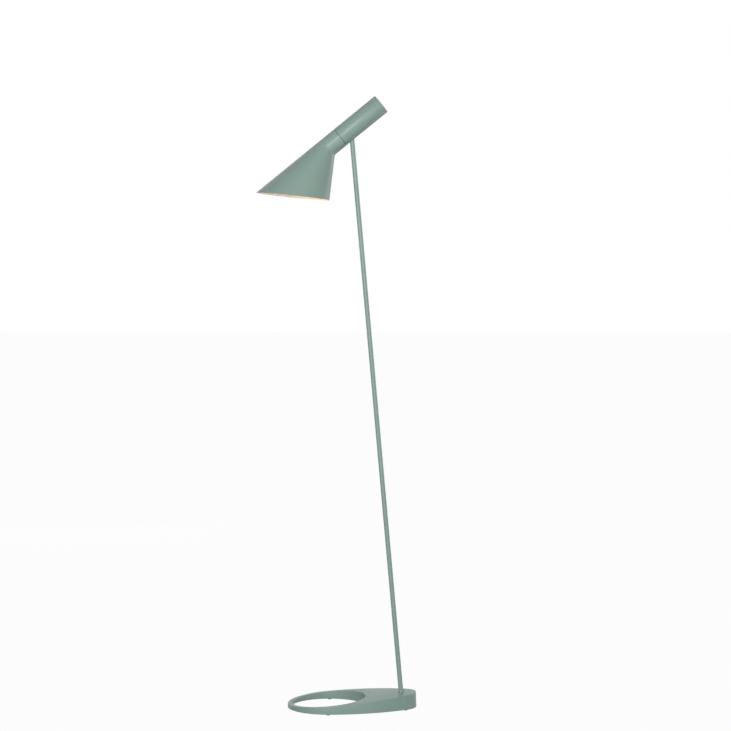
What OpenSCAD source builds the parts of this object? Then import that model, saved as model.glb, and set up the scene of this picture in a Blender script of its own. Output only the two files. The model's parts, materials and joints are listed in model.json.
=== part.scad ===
// Floor lamp with a tilting head.
// An egg-shaped cast foot with a round hole in its wide end carries a thin leaning pole.
// The pole ends inside a short tube, which tilts on a hinge and runs on into a slanted cone shade.
// +Z is up, the floor is z = 0, and the head points towards -X. All sizes are in millimetres.

/* [Foot] */
// Radius of the foot's wide end, at its bottom edge
wide_r = 88; // [80:1:100]
// Radius of the foot's narrow end, at its bottom edge
narrow_r = 43; // [40:1:50]
// Radius of the foot's long side curves
side_r = 300; // [220:5:500]
// Distance between the centres of the wide and narrow ends
ends_gap = 144; // [135:1:180]
// Radius of the round hole, which shares the wide end's centre
hole_r = 78; // [60:1:79]
// Height of the foot's top face above the floor, where the pole stands
foot_h = 31.4; // [30:0.2:45]
// Slope of the foot's side wall, in degrees
draft = 2.3; // [0:0.1:4]
// X position of the wide end's centre
wide_x = -17; // [-40:1:20]
// Thickness of the casting above the hollow under the narrow end
roof_t = 10; // [9:0.5:12]
// Thickness of the casting's wall around that hollow
wall_t = 12; // [11:0.5:14]
// Thickness of the plate that covers the hollow
cover_t = 2; // [1.5:0.5:3]
// Radius of each rubber foot
pad_r = 4; // [3:0.1:4.2]
// How far the rubber feet stand below the casting
pad_drop = 1.5; // [1:0.1:3]

/* [Pole] */
// Distance along the pole's axis from the foot's top face to the head's hinge
pole_reach = 1204; // [700:1:1500]
// Outer diameter of the pole
pole_d = 10; // [9.5:0.1:10.5]
// Wall thickness of the pole
pole_wall = 1; // [0.8:0.1:1.1]
// Lean of the pole from upright, in degrees, which is the slope of the foot's top face too
pole_lean = 5.07; // [0:0.01:7]
// Distance from the wide end's centre to the pole's foot
pole_from_wide = 154; // [148:1:158]
// Depth of the round recess that the pole stands in
recess_d = 5; // [3:0.5:5.5]

/* [Head] */
// Outer diameter of the head tube
tube_d = 43; // [43:1:60]
// Wall thickness of the head tube and the shade
sheet_t = 1.5; // [1:0.1:1.6]
// Length of the head tube, from its open end to the seam
tube_l = 111; // [105:1:150]
// Distance from the seam back to the hinge
seam_to_hinge = 29.3; // [29:0.1:34]
// Slope of the tube below the horizontal, in degrees
head_slope = 39.1; // [20:0.1:45]
// Length of the shade's collar along its underside
collar_l = 32.2; // [32:0.1:36]
// Half of the angle at the shade cone's point, in degrees
cone_half = 22; // [21:0.5:26]
// Length of the shade's straight top edge, from the seam to the rim
shade_l = 211.4; // [190:1:240]
// Tilt of the rim from level, in degrees, with the front edge higher
rim_tilt = 6; // [0:0.5:12]
// Lowest tilt of the head, in degrees down from its rest position
tilt_down = 8; // [0:1:8]
// Highest tilt of the head, in degrees up from its rest position
tilt_up = 60; // [20:1:60]

/* [Lamp and switch] */
// Radius of the bulb's globe
globe_r = 22.5; // [18:0.5:22.5]
// Distance of the globe's centre from the cone's point, along the cone's axis
globe_from_point = 86; // [84:1:90]
// Slope of the bulb against the head tube, in degrees
bulb_slope = 9.27; // [8:0.01:10]
// Depth of the rear cap inside the tube's open end
cap_depth = 3.5; // [3:0.5:8]
// Radius of the push button
button_r = 4.4; // [3:0.1:5]
// Travel of the push button
button_travel = 2; // [1:0.5:2]

/* [Hidden] */
$fn = 72;

// Clearances
fit_gap = 0.05;     // radial gap of a push fit or a running fit
thread_gap = 0.05;  // radial gap between a screw and its thread
hole_gap = 0.3;     // radial gap of a loose bolt hole
seat_gap = 0.2;     // gap around a plate in its rebate
slide_gap = 0.6;    // gap between the pole and the sides of the slot
past = 1;           // how far a cut runs past the face it opens
crease_step = 0.15;  // height of the fine shoulder between the collar and the cone
far = 600;          // larger than any cut needs

// Colours
paint = [0.60, 0.68, 0.65];
rubber = [0.12, 0.12, 0.12];
steel = [0.72, 0.72, 0.72];
brass = [0.80, 0.66, 0.32];
black_plastic = [0.15, 0.15, 0.16];
white_plastic = [0.90, 0.90, 0.88];
alloy = [0.78, 0.78, 0.80];

// Foot: the side curves' centre, and the directions in which they meet the two ends
side_to_wide = side_r - wide_r;
side_to_narrow = side_r - narrow_r;
side_cx = (side_to_wide ^ 2 - side_to_narrow ^ 2 + ends_gap ^ 2) / (2 * ends_gap);
side_cy = sqrt(side_to_wide ^ 2 - side_cx ^ 2);
to_wide = [-side_cx, side_cy] / side_to_wide;
to_narrow = [ends_gap - side_cx, side_cy] / side_to_narrow;
pole_x = wide_x + pole_from_wide;
hollow_x = hole_r + 14;   // where the hollow starts, from the wide end's centre
ledge_w = 2.5;            // ledge that the cover plate rests on
pad_h = 3;                // full height of a rubber foot
pad_inset = 5;            // distance of a rubber foot's centre from the bottom edge
pad_turn = 60;            // place of the two rear feet around the narrow end
boss_r = 5;
boss_at = [[ends_gap - 33, 42], [ends_gap + 13, 18]];
cover_screw_r = 2;
cover_screw_head_r = 3.4;
cover_screw_l = 9;

// Cord inlet, set square to the side wall on the far side
inlet_turn = 64.3;        // its place on the side curve, seen from the curve's centre
inlet_w = 11;
inlet_top = 12;
cord_hole_r = 3.1;
inlet_z = 6.3;
inlet_lip = 1.5;
inlet_lip_w = 1;

// Hardware under the pole
stud_bore_r = 2.5;
stud_end = 18.5;
washer_t = 1.2;
lock_washer_t = 1.5;
pole_nut_t = 4;
pole_nut_r = 7.5;
pole_r = pole_d / 2;
pole_in_r = pole_r - pole_wall;
stud_r = pole_in_r - fit_gap;
recess_r = pole_r + 1.5;
lead_r = 2.2;
lead_way_r = lead_r + 0.2;
wire_r = 1.4;
wire_y = 1.6;

// Terminal block, under the roof between the hole and the pole
block = [16, 24, 9];
block_x = -36;
block_pole_y = 6;
block_hole_r = 1.7;
small_screw_r = 1.5;
earth_at = [-30, -22];
earth_r = 2;
tag_t = 0.8;

// Hinge
pivot_x = pole_x - pole_reach * sin(pole_lean);
pivot_z = foot_h + pole_reach * cos(pole_lean);
pin_r = 2.95;
pin_hole_r = pin_r + fit_gap;
eye_r = 8;
slot_w = pole_d + 2 * slide_gap;
washer_gap = 0.1;
friction_t = 1;
eye_w = slot_w - 2 * (friction_t + washer_gap);
knuckle_drop = 16;       // from the hinge down to the top of the pole
tongue_l = 9;            // from the hinge down to the knuckle's round neck
spigot_l = 18;
lead_exit = 12.5;        // from the hinge down to where the lead leaves the knuckle

// Head tube, shade and the housing inside them
tube_r = tube_d / 2;
tube_in_r = tube_r - sheet_t;
tube_back = tube_l - seam_to_hinge;
pole_angle = 90 - head_slope + pole_lean;   // between the tube's axis and the pole, at rest
point_x = -seam_to_hinge - collar_l + tube_r * (1 / tan(cone_half) - tan(cone_half));
housing_r = tube_in_r - fit_gap;
housing_front = seam_to_hinge + 27.7;
housing_back = 20;
housing_bore_r = housing_r - 1.95;
slot_roof = 14;
screw_seat = 13.5;       // where the hinge screw's head bears, from the middle
nut_seat = 12;           // where the spring washer bears, from the middle
spring_t = 1.5;
hinge_nut_t = 4;
hinge_nut_r = 5.77;
hinge_head_r = 5;
hinge_head_t = 4;
set_screw_x = 13;
set_screw_r = 2;

// Bulb and lampholder, along the bulb's own axis from the globe's centre
globe_x = point_x - globe_from_point * cos(cone_half);
globe_z = tube_r - globe_from_point * sin(cone_half);
glass_t = 0.8;
bulb_cap_r = 6.9;
bulb_cap_from = 33.5;
bulb_cap_to = 51.5;
bulb_end = 55.5;
neck_from = 14;
holder_r = 12;
holder_from = 34;
holder_to = 66;
holder_bore_to = 56.5;
shell_r = 8.2;
nipple_r = 5;
nipple_bore_r = 3.5;
nipple_from = 60;
nipple_to = 74;
bulkhead_to = 70.5;
nipple_nut_t = 3;
nipple_nut_r = 8.08;
nut_pocket_r = 9.2;

// Rear cap and switch, from the hinge back along the tube's axis
cap_t = 3;
cap_face = tube_back - cap_depth;
cap_in = cap_face - cap_t;
vents = 12;
vent_w = 2;
vent_from = 11;
vent_to = 17;
bush_r = button_r + 1.6;
switch_r = 8;
switch_l = 25;
bush_out = 1.7;
button_out = 3;
button_l = 9;
button_gap = 0.1;
bush_bore_l = button_l + button_travel + 1;

// Frame of the pole: origin on the foot's top face, +Z up along the pole
module on_pole() {
    translate([pole_x, 0, foot_h]) rotate([0, -pole_lean, 0]) children();
}

// Frame of the knuckle: origin on the hinge, +Z up along the pole
module on_hinge() {
    translate([pivot_x, 0, pivot_z]) rotate([0, -pole_lean, 0]) children();
}

// Frame of the head: origin on the hinge, +X back along the tube
module in_head() {
    translate([pivot_x, 0, pivot_z]) rotate([0, -head_slope, 0]) children();
}

// Frame of the bulb: origin at the globe's centre, +X back along the bulb
module in_bulb() {
    in_head() translate([globe_x, 0, globe_z]) rotate([0, -bulb_slope, 0]) children();
}

// Round bar along +X, or a cone where the second radius differs
module rod_x(from, to, r, r_to = -1) {
    translate([from, 0, 0]) rotate([0, 90, 0]) cylinder(h = to - from, r1 = r, r2 = r_to < 0 ? r : r_to);
}

// Round bar along +Y
module rod_y(from, to, r) {
    translate([0, from, 0]) rotate([-90, 0, 0]) cylinder(h = to - from, r = r);
}

// Hexagonal bar along +Z
module hex(h, r) {
    cylinder(h = h, r = r, $fn = 6);
}

// Everything on one side of a plane through the origin, below it or above it
module below() {
    translate([-far, -far, -far]) cube([2 * far, 2 * far, far]);
}

module above() {
    translate([-far, -far, 0]) cube([2 * far, 2 * far, far]);
}

// Turns +Z to a direction
module turn_to(way) {
    rotate([0, acos(way.z / norm(way)), atan2(way.y, way.x)]) children();
}

// Unit direction of one stretch of a lead
function stretch(points, i) = (points[i + 1] - points[i]) / norm(points[i + 1] - points[i]);

// Round lead through a list of points, with mitred corners
module lead(points, r) {
    last = len(points) - 2;
    for (i = [0:last]) {
        extra_start = i > 0 ? 2 * r : 0;
        extra_end = i < last ? 2 * r : 0;
        difference() {
            translate(points[i]) turn_to(stretch(points, i)) translate([0, 0, -extra_start])
                cylinder(h = norm(points[i + 1] - points[i]) + extra_start + extra_end, r = r);
            if (i > 0) translate(points[i])
                turn_to(stretch(points, i - 1) + stretch(points, i)) below();
            if (i < last) translate(points[i + 1])
                turn_to(stretch(points, i) + stretch(points, i + 1)) above();
        }
    }
}

// Egg-shaped block: two ends and two side curves that meet without a corner
module egg(inset, h, slope = 0) {
    shrink = h * tan(slope);
    intersection() {
        cylinder(h = h, r1 = wide_r - inset, r2 = wide_r - inset - shrink);
        linear_extrude(h)
            polygon([[0, 0], far * to_wide, [-far, far], [-far, -far], far * [to_wide.x, -to_wide.y]]);
    }
    intersection() {
        translate([ends_gap, 0, 0]) cylinder(h = h, r1 = narrow_r - inset, r2 = narrow_r - inset - shrink);
        translate([ends_gap, 0, 0]) linear_extrude(h)
            polygon([[0, 0], far * [to_narrow.x, -to_narrow.y], [far, -far], [far, far], far * to_narrow]);
    }
    for (side = [0, 1]) mirror([0, side, 0]) intersection() {
        translate([side_cx, -side_cy, 0])
            cylinder(h = h, r1 = side_r - inset, r2 = side_r - inset - shrink);
        linear_extrude(h)
            polygon([[0, 0], [ends_gap, 0], [ends_gap, 0] + far * to_narrow, far * to_wide]);
    }
}

// Places one copy on each rubber foot's centre
module at_pads() {
    for (side = [1, -1]) {
        translate([wide_x, side * (wide_r - pad_inset), 0]) children();
        translate([wide_x + ends_gap, 0, 0]) rotate([0, 0, side * pad_turn])
            translate([narrow_r - pad_inset, 0, 0]) children();
    }
}

// Places one copy on each cover screw's axis
module at_bosses() {
    for (at = boss_at, side = [1, -1]) translate([wide_x + at.x, side * at.y, 0]) children();
}

// Frame of the cord inlet: origin on the outer wall at the casting's bottom, +X out along the cord
module at_inlet() {
    translate([wide_x + side_cx, -side_cy, pad_drop]) rotate([0, 0, inlet_turn])
        translate([side_r, 0, 0]) children();
}

// The plan of the hollow and of its cover, as a block
module hollow_plan(inset, h) {
    intersection() {
        translate([wide_x, 0, 0]) egg(inset, h);
        translate([wide_x + hollow_x + inset - wall_t, -far, 0]) cube([far, 2 * far, h]);
    }
}

// Cast foot
module base_casting() {
    color(paint) difference() {
        union() {
            difference() {
                translate([wide_x, 0, pad_drop]) egg(0, foot_h + 20, draft);
                on_pole() above();
                intersection() {
                    translate([0, 0, pad_drop - past]) hollow_plan(wall_t, foot_h + past);
                    on_pole() translate([0, 0, -roof_t]) below();
                }
            }
            intersection() {
                at_bosses() translate([0, 0, pad_drop + cover_t]) cylinder(h = foot_h, r = boss_r);
                on_pole() translate([0, 0, -roof_t / 2]) below();
            }
        }
        translate([wide_x, 0, -past]) cylinder(h = foot_h + 20, r = hole_r);
        translate([0, 0, pad_drop - past]) hollow_plan(wall_t - ledge_w, cover_t + past);
        at_pads() translate([0, 0, -past]) cylinder(h = pad_h + past, r = pad_r + fit_gap);
        at_bosses() cylinder(h = pad_drop + cover_screw_l + past, r = cover_screw_r + thread_gap);
        on_pole() translate([0, 0, -recess_d]) cylinder(h = recess_d + past, r = recess_r);
        on_pole() translate([0, 0, -roof_t - past]) cylinder(h = roof_t, r = stud_r + hole_gap);
        on_pole() translate([block_x, 0, -roof_t - past]) cylinder(h = 6, r = small_screw_r + thread_gap);
        on_pole() translate([earth_at.x, earth_at.y, -roof_t - past])
            cylinder(h = 7, r = earth_r + thread_gap);
        at_inlet() translate([-wall_t - 5, -inlet_w / 2, -past]) cube([wall_t + 10, inlet_w, inlet_top + past]);
    }
}

// Steel plate under the hollow
module base_cover_plate() {
    color(steel) difference() {
        translate([0, 0, pad_drop]) hollow_plan(wall_t - ledge_w + seat_gap, cover_t);
        at_bosses() translate([0, 0, -past]) cylinder(h = 10, r = cover_screw_r + hole_gap);
        at_bosses() translate([0, 0, pad_drop - past])
            cylinder(h = past + cover_t / 2, r = cover_screw_head_r + hole_gap);
        at_inlet() translate([-wall_t - 5, -inlet_w / 2 - 2, -past]) cube([wall_t + 10, inlet_w + 4, 5]);
    }
}

// Four screws that hold the cover plate, their heads sunk in it
module cover_screws() {
    color(steel) at_bosses() difference() {
        union() {
            translate([0, 0, pad_drop]) cylinder(h = cover_t / 2, r = cover_screw_head_r);
            translate([0, 0, pad_drop]) cylinder(h = cover_screw_l, r = cover_screw_r);
        }
        translate([0, 0, pad_drop - past]) hex(past + 0.6, 1.6);
    }
}

// Four rubber feet in their sockets
module rubber_feet() {
    color(rubber) at_pads() cylinder(h = pad_h, r = pad_r);
}

// Rubber bush that guides the supply cord through the wall
module cord_inlet_bush() {
    color(rubber) at_inlet() difference() {
        union() {
            translate([-wall_t - inlet_lip, -inlet_w / 2 + fit_gap, 0])
                cube([wall_t + 2 * inlet_lip, inlet_w - 2 * fit_gap, inlet_top - fit_gap]);
            translate([inlet_lip - 0.7, -inlet_w / 2 - inlet_lip_w, 0])
                cube([inlet_lip, inlet_w + 2 * inlet_lip_w, inlet_top + inlet_lip_w]);
        }
        translate([0, 0, inlet_z - pad_drop]) rod_x(-wall_t - 10, 10, cord_hole_r);
    }
}

// Two-way terminal block on the hollow's roof
module terminal_block() {
    color(white_plastic) on_pole() translate([block_x, 0, -roof_t - block.z]) difference() {
        translate([-block.x / 2, -block.y / 2, 0]) cube(block);
        for (side = [1, -1]) translate([0, side * block_pole_y, block.z / 2]) {
            rod_x(-block.x, block.x, block_hole_r);
            for (x = [-1, 1]) translate([x * block.x / 4, 0, -block.z])
                cylinder(h = block.z, r = small_screw_r + thread_gap);
        }
        translate([0, 0, -past]) cylinder(h = block.z + 2 * past, r = small_screw_r + hole_gap);
        translate([0, 0, -past]) cylinder(h = past + 3, r = 2 * small_screw_r);
    }
}

// Four clamping screws in the terminal block
module terminal_screws() {
    color(brass) on_pole() translate([block_x, 0, -roof_t - block.z])
        for (side = [1, -1], x = [-1, 1]) translate([x * block.x / 4, side * block_pole_y, 0.6])
            cylinder(h = block.z / 2 - block_hole_r - 0.8, r = small_screw_r);
}

// Screw that holds the terminal block to the casting
module terminal_fixing_screw() {
    color(steel) on_pole() translate([block_x, 0, -roof_t - block.z + 3]) {
        translate([0, 0, -1.8]) cylinder(h = 1.8, r = 2 * small_screw_r - hole_gap);
        cylinder(h = block.z - 3 + 4, r = small_screw_r);
    }
}

// Ring tag on the earth screw
module earth_tag() {
    color(brass) on_pole() translate([earth_at.x, earth_at.y, -roof_t - tag_t]) difference() {
        union() {
            cylinder(h = tag_t, r = 2 * earth_r);
            translate([0, -earth_r, 0]) cube([11, 2 * earth_r, tag_t]);
        }
        translate([0, 0, -past]) cylinder(h = 2 * past + tag_t, r = earth_r + hole_gap);
    }
}

// Screw that clamps the earth tag to the casting
module earth_screw() {
    color(steel) on_pole() translate([earth_at.x, earth_at.y, -roof_t - tag_t]) {
        translate([0, 0, -2.4]) cylinder(h = 2.4, r = 1.8 * earth_r);
        cylinder(h = tag_t + 5, r = earth_r);
    }
}

// Thin pole, from the bottom of its recess to the knuckle
module pole_tube() {
    color(paint) on_pole() translate([0, 0, -recess_d]) difference() {
        cylinder(h = pole_reach - knuckle_drop + recess_d, r = pole_r);
        translate([0, 0, -past]) cylinder(h = pole_reach + 2 * past, r = pole_in_r);
    }
}

// Hollow threaded stud, screwed into the pole and bolted through the foot
module pole_stud() {
    color(steel) on_pole() translate([0, 0, -stud_end]) difference() {
        cylinder(h = stud_end + 20, r = stud_r);
        translate([0, 0, -past]) cylinder(h = stud_end + 20 + 2 * past, r = stud_bore_r);
    }
}

// Flat ring on the stud, between two depths below the top face
module stud_ring(from, to, r, r_in) {
    on_pole() translate([0, 0, -to]) difference() {
        cylinder(h = to - from, r = r);
        translate([0, 0, -past]) cylinder(h = to - from + 2 * past, r = r_in);
    }
}

// Plain washer under the foot's roof
module pole_washer() {
    color(steel) stud_ring(roof_t, roof_t + washer_t, 9, stud_r + hole_gap);
}

// Spring lock washer, split on one side
module pole_lock_washer() {
    color(steel) difference() {
        stud_ring(roof_t + washer_t, roof_t + washer_t + lock_washer_t, 6.6, stud_r + hole_gap);
        on_pole() translate([0, -0.6, -far / 2]) cube([20, 1.2, far / 2]);
    }
}

// Nut that holds the pole to the foot
module pole_nut() {
    nut_top = roof_t + washer_t + lock_washer_t;
    color(steel) on_pole() translate([0, 0, -nut_top - pole_nut_t]) difference() {
        hex(pole_nut_t, pole_nut_r);
        translate([0, 0, -past]) cylinder(h = pole_nut_t + 2 * past, r = stud_r + thread_gap);
    }
}

// Supply lead, from the terminal block up inside the pole to the knuckle
module inner_lead() {
    block_end = block_x + block.x / 2 + 0.2;
    block_mid = -roof_t - block.z / 2;
    color(black_plastic) on_pole() {
        lead([[block_end + 3, 0, block_mid],
              [-9, 0, -stud_end - 3.5],
              [0, 0, -stud_end - 3.5],
              [0, 0, pole_reach - lead_exit],
              [pole_r, 0, pole_reach - lead_exit]], lead_r);
        for (side = [1, -1])
            lead([[block_end - 2, side * block_pole_y, block_mid],
                  [block_end + 1.6, side * block_pole_y, block_mid],
                  [block_end + 4, side * 0.7, block_mid - 0.4]], 0.9);
    }
}

// Hinge knuckle, pressed into the top of the pole
module pole_top_knuckle() {
    color(alloy) on_hinge() difference() {
        union() {
            rod_y(-eye_w / 2, eye_w / 2, eye_r);
            translate([-pole_r, -eye_w / 2, -tongue_l]) cube([pole_d, eye_w, tongue_l]);
            translate([0, 0, -knuckle_drop]) cylinder(h = knuckle_drop - tongue_l, r = pole_r);
            translate([0, 0, -knuckle_drop - spigot_l]) cylinder(h = spigot_l, r = pole_in_r - fit_gap);
        }
        rod_y(-eye_w, eye_w, pin_hole_r);
        translate([0, 0, -knuckle_drop - spigot_l - past])
            cylinder(h = knuckle_drop + spigot_l + past - lead_exit + lead_way_r, r = lead_way_r);
        translate([0, 0, -lead_exit]) rod_x(-lead_way_r, pole_d, lead_way_r);
    }
}

// Where the pole's edge crosses the tube's wall at a tilt, with room to spare
function slot_edge(tilt, way) =
    -tube_r / tan(pole_angle + tilt) + way * (pole_r + slide_gap) / sin(pole_angle + tilt);

slot_front = slot_edge(-tilt_down, -1);
slot_back = slot_edge(tilt_up, 1);

// Slot with round ends that the pole moves in, cut from below
module pole_slot(front, back, roof) {
    for (x = [front + slot_w / 2, back - slot_w / 2])
        translate([x, 0, -far / 2]) cylinder(h = far / 2 + roof, r = slot_w / 2);
    translate([front + slot_w / 2, -slot_w / 2, -far / 2])
        cube([back - front - slot_w, slot_w, far / 2 + roof]);
}

// Round tube that the pole enters from below
module head_tube() {
    color(paint) in_head() difference() {
        rod_x(-seam_to_hinge, tube_back, tube_r);
        rod_x(-seam_to_hinge - past, tube_back + past, tube_in_r);
        pole_slot(slot_front, slot_back, -tube_r / 2);
    }
}

// Collar and cone of the shade as one block, for a given radius and back end of the collar.
// The cone lies a hair inside the collar, so the crease between them is a fine shoulder.
module shade_block(r, cone_l, back) {
    tip_x = point_x - (tube_r - r) / tan(cone_half);
    crease_x = tip_x - r / tan(cone_half) + r * tan(cone_half) / 2;
    crease_lean = atan(tan(cone_half) / 2);
    intersection() {
        rod_x(crease_x - r, back, r);
        translate([crease_x, 0, 0]) rotate([0, 90 - crease_lean, 0]) above();
    }
    intersection() {
        translate([tip_x, 0, r]) rotate([0, -90 - cone_half, 0])
            translate([0, 0, r / 2 + crease_step / sin(cone_half)])
            rotate([0, 0, 180]) cylinder(h = cone_l, r1 = r / 2 * tan(cone_half),
                                         r2 = (r / 2 + cone_l) * tan(cone_half));
        translate([crease_x, 0, 0]) rotate([0, 90 - crease_lean, 0]) below();
    }
}

// Slanted cone shade with the collar that carries on from the tube
module lamp_shade() {
    color(paint) in_head() difference() {
        shade_block(tube_r, shade_l + 10, -seam_to_hinge);
        shade_block(tube_in_r, shade_l + 30, -seam_to_hinge + past);
        translate([-seam_to_hinge - shade_l, 0, tube_r]) rotate([0, head_slope + rim_tilt, 0]) below();
    }
}

// Alloy block inside the tube and the collar: it joins them, and holds the hinge and the lampholder
module joint_housing() {
    color(alloy) difference() {
        in_head() rod_x(-housing_front, housing_back, housing_r);
        intersection() {
            in_head() rod_x(-housing_front - past, 0, housing_bore_r);
            in_bulb() translate([holder_to, 0, 0]) rotate([0, 90, 0]) below();
        }
        in_bulb() rod_x(holder_to - past, bulkhead_to + past, nipple_r + thread_gap);
        in_bulb() rod_x(bulkhead_to, bulkhead_to + 8.5, nut_pocket_r);
        in_head() {
            pole_slot(slot_front, housing_back + slot_w, slot_roof);
            rod_y(-housing_r, housing_r, pin_hole_r);
            rod_y(-tube_r, -screw_seat, hinge_head_r + hole_gap);
            rod_y(nut_seat, tube_r, hinge_nut_r + hole_gap);
            translate([set_screw_x, 0, 0]) rod_y(-tube_r, tube_r, set_screw_r + thread_gap);
        }
    }
}

// Screw that the head tilts on
module hinge_screw() {
    color(steel) in_head() difference() {
        union() {
            rod_y(-screw_seat - hinge_head_t, -screw_seat, hinge_head_r);
            rod_y(-screw_seat, nut_seat + spring_t + hinge_nut_t + 0.5, pin_r);
        }
        translate([0, -screw_seat - hinge_head_t - past, 0]) rotate([-90, 0, 0]) hex(past + 2.5, 2.9);
    }
}

// Two washers that rub on the knuckle and hold the tilt
module friction_washers() {
    color(black_plastic) in_head() for (side = [0, 1]) mirror([0, side, 0]) difference() {
        rod_y(eye_w / 2 + washer_gap, slot_w / 2, eye_r - 0.5);
        rod_y(0, slot_w, pin_hole_r + fit_gap);
    }
}

// Spring washer that keeps the hinge tight
module spring_washer() {
    color(steel) in_head() difference() {
        rod_y(nut_seat, nut_seat + spring_t, hinge_nut_r - 0.3);
        rod_y(0, tube_r, pin_hole_r + fit_gap);
        translate([0, nut_seat - past, -0.5]) cube([tube_r, 10, 1]);
    }
}

// Nut on the hinge screw
module hinge_nut() {
    color(steel) in_head() difference() {
        translate([0, nut_seat + spring_t, 0]) rotate([-90, 0, 0]) hex(hinge_nut_t, hinge_nut_r);
        rod_y(0, tube_r, pin_r + thread_gap);
    }
}

// Two set screws that lock the housing in the tube
module housing_set_screws() {
    color(steel) in_head() for (side = [0, 1]) mirror([0, side, 0])
        translate([set_screw_x, 0, 0]) difference() {
            rod_y(tube_in_r - 9, tube_in_r - 0.5, set_screw_r);
            translate([0, tube_in_r - 9 - past, 0]) rotate([-90, 0, 0]) hex(past + 2, 1.1);
        }
}

// Hollow threaded nipple between the housing and the lampholder
module lampholder_nipple() {
    color(steel) in_bulb() difference() {
        rod_x(nipple_from, nipple_to, nipple_r);
        rod_x(nipple_from - past, nipple_to + past, nipple_bore_r);
    }
}

// Nut behind the housing's bulkhead
module nipple_nut() {
    color(steel) in_bulb() difference() {
        translate([bulkhead_to, 0, 0]) rotate([0, 90, 0]) hex(nipple_nut_t, nipple_nut_r);
        rod_x(nipple_from, nipple_to + past, nipple_r + thread_gap);
    }
}

// Moulded body of the lampholder
module lampholder_body() {
    color(black_plastic) in_bulb() difference() {
        rod_x(holder_from, holder_to, holder_r);
        rod_x(holder_from - past, holder_bore_to, bulb_cap_r + 0.5);
        rod_x(holder_from + 1.5, holder_bore_to, shell_r + fit_gap);
        rod_x(nipple_from - 0.5, holder_to + past, nipple_r + thread_gap);
    }
}

// Metal screw shell inside the lampholder
module lampholder_shell() {
    color(brass) in_bulb() difference() {
        rod_x(holder_from + 2, bulb_end - 1, shell_r);
        rod_x(holder_from, bulb_end, bulb_cap_r + seat_gap);
    }
}

// Centre contact at the bottom of the lampholder
module lampholder_contact() {
    color(brass) in_bulb() {
        rod_x(bulb_end + 0.1, holder_bore_to - 0.1, 3);
        translate([holder_bore_to - 0.5, -1.5, 0]) cube([0.4, 3, 7]);
    }
}

// Opal glass of the bulb
module bulb_globe() {
    neck_angle = acos(neck_from / globe_r);
    color([1, 0.96, 0.86, 0.8]) in_bulb() difference() {
        union() {
            sphere(r = globe_r);
            rod_x(neck_from, bulb_cap_from, globe_r * sin(neck_angle), bulb_cap_r - 0.1);
        }
        sphere(r = globe_r - glass_t);
        rod_x(neck_from - glass_t, bulb_cap_from + past,
              globe_r * sin(neck_angle) - glass_t, bulb_cap_r - 0.1 - glass_t);
    }
}

// Screw cap of the bulb
module bulb_cap() {
    color(steel) in_bulb() difference() {
        rod_x(bulb_cap_from, bulb_cap_to, bulb_cap_r);
        rod_x(bulb_cap_from - past, bulb_cap_to - 0.5, bulb_cap_r - 0.5);
    }
}

// Insulator between the cap and its centre contact
module bulb_insulator() {
    color(black_plastic) in_bulb() rod_x(bulb_cap_to, bulb_end - 1.2, bulb_cap_r - 0.8, 3.2);
}

// Centre contact of the bulb
module bulb_contact() {
    color(steel) in_bulb() rod_x(bulb_end - 1.2, bulb_end, 2.4);
}

// Vented disc set back in the tube's open end
module rear_cap() {
    color(black_plastic) in_head() difference() {
        rod_x(cap_in, cap_face, tube_in_r - fit_gap);
        rod_x(cap_in - past, cap_face + past, bush_r + fit_gap);
        for (i = [0:vents - 1]) rotate([i * 360 / vents, 0, 0])
            translate([cap_in - past, -vent_w / 2, vent_from])
                cube([cap_t + 2 * past, vent_w, vent_to - vent_from]);
    }
}

// Push switch behind the rear cap, with its threaded bush
module switch_body() {
    color(black_plastic) in_head() difference() {
        union() {
            rod_x(cap_in - switch_l, cap_in, switch_r);
            rod_x(cap_in, cap_face + bush_out, bush_r);
            for (side = [1, -1]) translate([cap_in - switch_l - 4, side * wire_y - 0.4, -1.5])
                cube([4 + past, 0.8, 3]);
        }
        rod_x(cap_face + bush_out - bush_bore_l, tube_back, button_r + button_gap);
    }
}

// Nut that clamps the switch to the rear cap
module switch_nut() {
    color(steel) in_head() difference() {
        translate([cap_face, 0, 0]) rotate([0, 90, 0]) hex(1.5, bush_r + 2.4);
        rod_x(cap_face - past, tube_back, bush_r + thread_gap);
    }
}

// Two leads from the switch over the hinge to the lampholder
module head_leads() {
    back = cap_in - switch_l;
    nipple_mid = [globe_x + nipple_to * cos(bulb_slope), globe_z + nipple_to * sin(bulb_slope)];
    nipple_deep = [globe_x + 63 * cos(bulb_slope), globe_z + 63 * sin(bulb_slope)];
    color(white_plastic) in_head() for (side = [1, -1]) translate([0, side * wire_y, 0])
        lead([[back - 4.1, 0, 0],
              [back - 7, 0, 0],
              [housing_back + 3, 0, 11],
              [-8, 0, 11],
              [nipple_mid.x + 1, 0, nipple_mid[1]],
              [nipple_deep.x, 0, nipple_deep[1]]], wire_r);
}

// Push button in the switch's bush
module switch_button() {
    color(black_plastic) in_head()
        rod_x(cap_face + button_out - button_l, cap_face + button_out, button_r);
}

base_casting();
base_cover_plate();
cover_screws();
rubber_feet();
cord_inlet_bush();
terminal_block();
terminal_screws();
terminal_fixing_screw();
earth_screw();
earth_tag();
pole_tube();
pole_stud();
pole_washer();
pole_lock_washer();
pole_nut();
inner_lead();
pole_top_knuckle();
head_tube();
lamp_shade();
joint_housing();
hinge_screw();
friction_washers();
spring_washer();
hinge_nut();
housing_set_screws();
lampholder_nipple();
nipple_nut();
lampholder_body();
lampholder_shell();
lampholder_contact();
bulb_globe();
bulb_cap();
bulb_insulator();
bulb_contact();
rear_cap();
switch_body();
switch_nut();
head_leads();
switch_button();
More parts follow.
